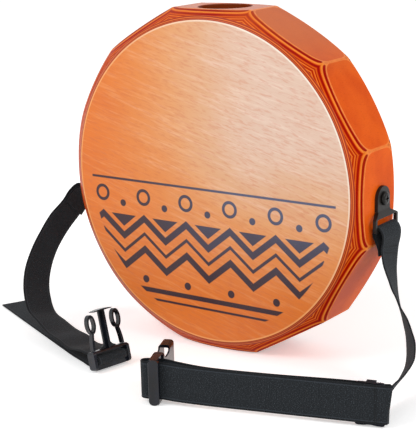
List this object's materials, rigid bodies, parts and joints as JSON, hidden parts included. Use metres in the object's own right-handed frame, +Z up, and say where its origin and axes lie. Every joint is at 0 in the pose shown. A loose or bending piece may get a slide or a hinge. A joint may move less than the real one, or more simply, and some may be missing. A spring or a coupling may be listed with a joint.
{
  "type": "portable cajon",
  "caption": "Flat twelve-sided wooden drum with a thin playing plate, a top sound hole, a snare inside, and a shoulder strap of webbing on swivelling brackets with a side-release buckle.",
  "frame": {"origin": "middle of the outer face of the bottom stave, which the drum stands on", "axes": "+Z up; -Y out of the playing plate; +Y out of the back plate; +X to the right seen from the front"},
  "size_m": [0.5597, 0.2433, 0.36],
  "materials": {
    "plywood": "clear satin varnish over stained birch plywood",
    "playing_face": "satin varnish",
    "raw_wood": "sanded, unfinished",
    "steel": "bright",
    "brass": "plain",
    "bracket": "black powder coat",
    "screw": "black oxide",
    "webbing": "black woven polypropylene webbing",
    "plastic": "black moulded acetal"
  },
  "bodies": {
    "drum": {"stave_1": "plywood", "stave_2": "plywood", "stave_3": "plywood", "stave_4": "plywood", "stave_5": "plywood", "stave_6": "plywood", "stave_7": "plywood", "stave_8": "plywood", "stave_9": "plywood", "stave_10": "plywood", "stave_11": "plywood", "stave_12": "plywood", "playing_plate": "playing_face", "back_plate": "playing_face", "snare_rail": "raw_wood", "snare_strands": "steel", "snare_screw_left": "steel", "snare_screw_right": "steel", "strap_insert_left": "brass", "strap_insert_right": "brass", "strap_screw_left": "screw", "strap_screw_right": "screw", "webbing_hang_right": "webbing", "webbing_hang_left": "webbing", "webbing_tail_left": "webbing", "webbing_socket_loop": "webbing", "webbing_return": "webbing", "buckle_plug": "plastic"},
    "bracket_right": {"strap_bracket_right": "bracket", "webbing_loop_right": "webbing"},
    "bracket_left": {"strap_bracket_left": "bracket", "webbing_loop_left": "webbing"},
    "socket": {"buckle_socket": "plastic"},
    "slider": {"strap_slider": "plastic"},
    "arm_right": {"plug_arm_right": "plastic"},
    "arm_left": {"plug_arm_left": "plastic"}
  },
  "joints": [
    {"name": "bracket_right_swing", "type": "hinge", "parent": "drum", "child": "bracket_right", "pos_m": [0.18, 0.002, 0.178], "axis": [1, 0, 0], "range_deg": [-60, 60], "deforming": ["webbing_hang_right"]},
    {"name": "bracket_left_swing", "type": "hinge", "parent": "drum", "child": "bracket_left", "pos_m": [-0.18, 0.002, 0.178], "axis": [1, 0, 0], "range_deg": [-60, 60], "deforming": ["webbing_hang_left"]},
    {"name": "socket_swing", "type": "hinge", "parent": "drum", "child": "socket", "pos_m": [0.04112, -0.18949, 0.023], "axis": [0, 0, 1], "range_deg": [-25, 25], "deforming": ["webbing_socket_loop"]},
    {"name": "slider_slide", "type": "slide", "parent": "drum", "child": "slider", "axis": [-0.9636, -0.2672, 0], "range_m": [0, 0.1], "deforming": ["webbing_return", "webbing_hang_right"]},
    {"name": "plug_arm_right_flex", "type": "hinge", "parent": "drum", "child": "arm_right", "pos_m": [-0.05672, -0.1207, 0.02133], "axis": [0.9508, -0.1934, 0.2419], "range_deg": [0, 8], "stiffness_Nm_per_rad": 0.6},
    {"name": "plug_arm_left_flex", "type": "hinge", "parent": "drum", "child": "arm_left", "pos_m": [-0.0643, -0.15794, 0.02133], "axis": [-0.9508, 0.1934, -0.2419], "range_deg": [0, 8], "stiffness_Nm_per_rad": 0.6}
  ]
}
